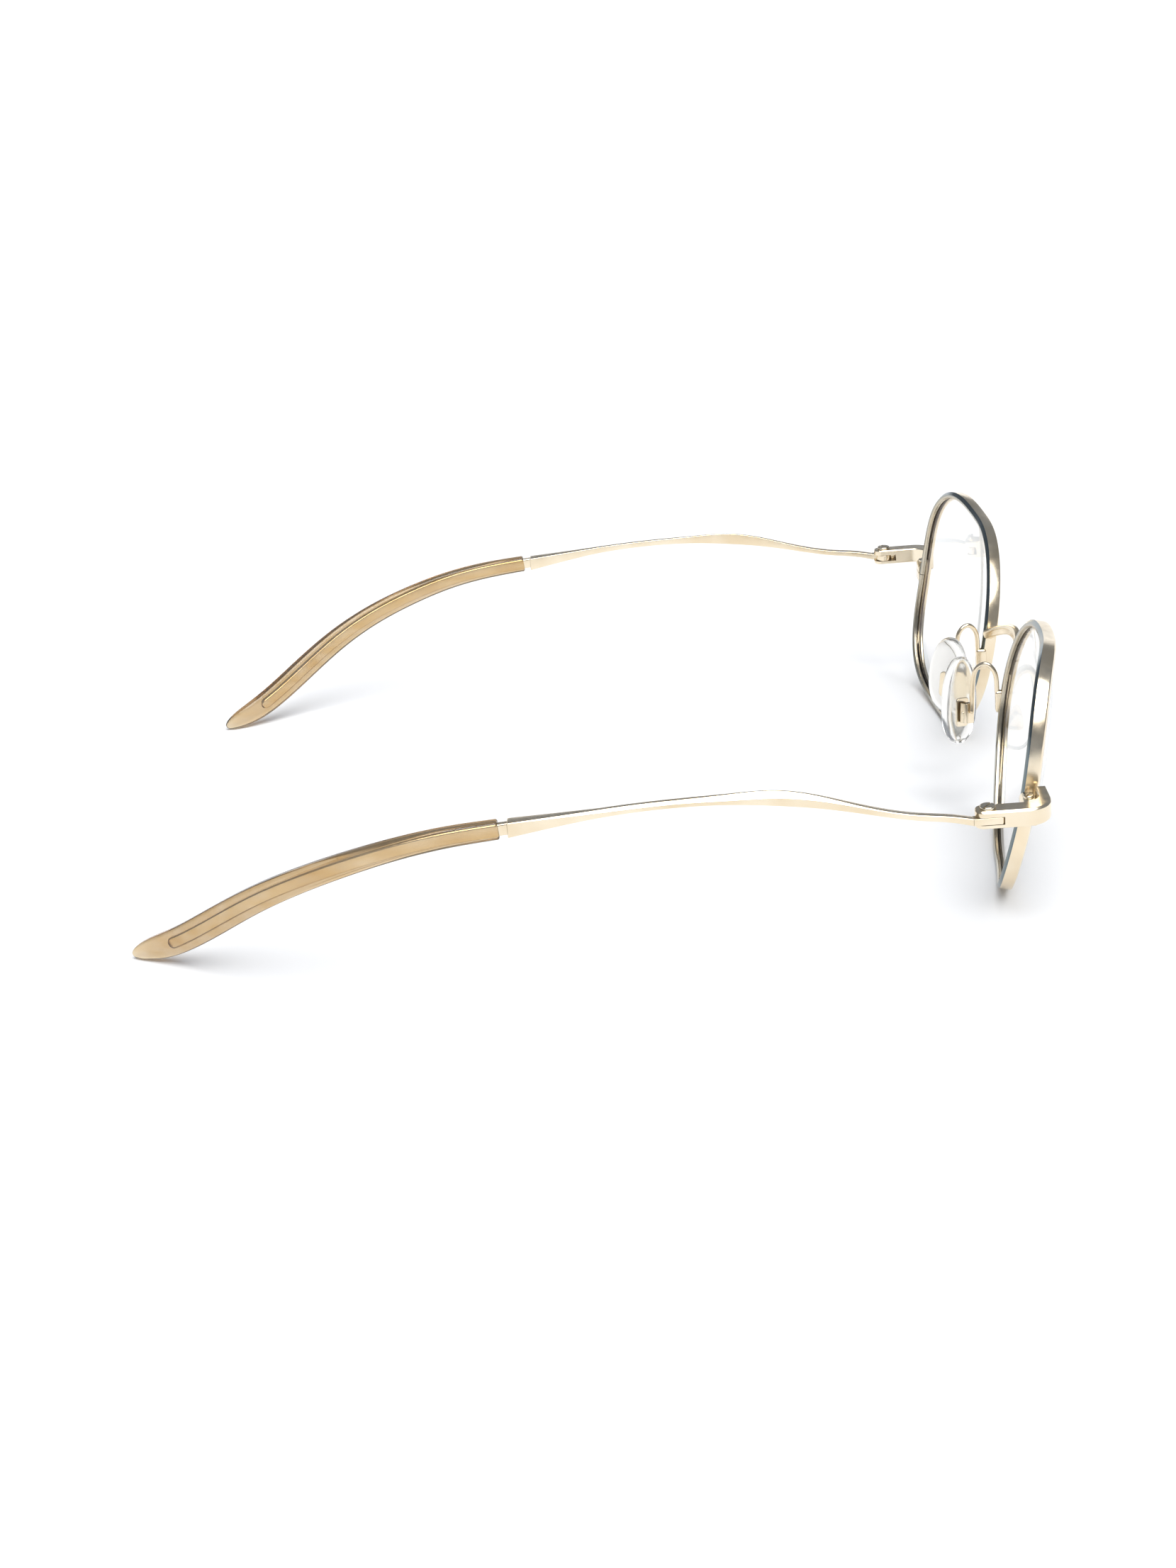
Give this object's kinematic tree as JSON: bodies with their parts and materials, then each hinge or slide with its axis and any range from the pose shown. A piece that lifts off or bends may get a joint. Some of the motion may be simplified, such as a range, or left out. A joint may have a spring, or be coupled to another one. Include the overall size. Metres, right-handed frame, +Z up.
{
  "type": "eyeglasses frame",
  "caption": "Full-rim metal eyeglasses frame with a thin arched bridge, folding metal temples, clear crystal temple tips, silicone nose pads and plain demo lenses.",
  "frame": {"origin": "centre of the ground area that the standing frame covers, on the ground", "axes": "+X towards the wearer's left, +Y back along the temples, +Z up"},
  "size_m": [0.137, 0.1486, 0.0406],
  "materials": {
    "champagne_metal": "satin pale gold plating on steel",
    "screw_steel": "polished pale gold",
    "demo_lens": "clear polished",
    "crystal_acetate": "glossy translucent amber",
    "clear_silicone": "clear soft"
  },
  "bodies": {
    "front": {"bridge": "champagne_metal", "rim_left": "champagne_metal", "lens_left": "demo_lens", "closing_block_upper_left": "champagne_metal", "closing_block_lower_left": "champagne_metal", "closing_screw_left": "screw_steel", "endpiece_left": "champagne_metal", "hinge_screw_left": "screw_steel", "pad_arm_left": "champagne_metal", "pad_box_left": "champagne_metal", "pad_screw_left": "screw_steel", "rim_right": "champagne_metal", "lens_right": "demo_lens", "closing_block_upper_right": "champagne_metal", "closing_block_lower_right": "champagne_metal", "closing_screw_right": "screw_steel", "endpiece_right": "champagne_metal", "hinge_screw_right": "screw_steel", "pad_arm_right": "champagne_metal", "pad_box_right": "champagne_metal", "pad_screw_right": "screw_steel"},
    "temple_left": {"temple_left": "champagne_metal", "temple_tip_left": "crystal_acetate"},
    "pad_left": {"nose_pad_left": "clear_silicone", "pad_insert_left": "champagne_metal"},
    "temple_right": {"temple_right": "champagne_metal", "temple_tip_right": "crystal_acetate"},
    "pad_right": {"nose_pad_right": "clear_silicone", "pad_insert_right": "champagne_metal"}
  },
  "joints": [
    {"name": "temple_hinge_left", "type": "hinge", "parent": "front", "child": "temple_left", "pos_m": [0.0669, -0.05849, 0.0225], "axis": [0, 0.0135, 0.9999], "range_deg": [0, 84]},
    {"name": "temple_hinge_right", "type": "hinge", "parent": "front", "child": "temple_right", "pos_m": [-0.0669, -0.05849, 0.0225], "axis": [0, -0.0135, -0.9999], "range_deg": [0, 80]},
    {"name": "pad_rock_left", "type": "hinge", "parent": "front", "child": "pad_left", "pos_m": [0.00829, -0.06399, 0.01681], "axis": [0.5736, 0.8035, 0.1595], "range_deg": [-8, 8]},
    {"name": "pad_rock_right", "type": "hinge", "parent": "front", "child": "pad_right", "pos_m": [-0.00829, -0.06399, 0.01681], "axis": [-0.5736, 0.8035, 0.1595], "range_deg": [-8, 8]}
  ]
}
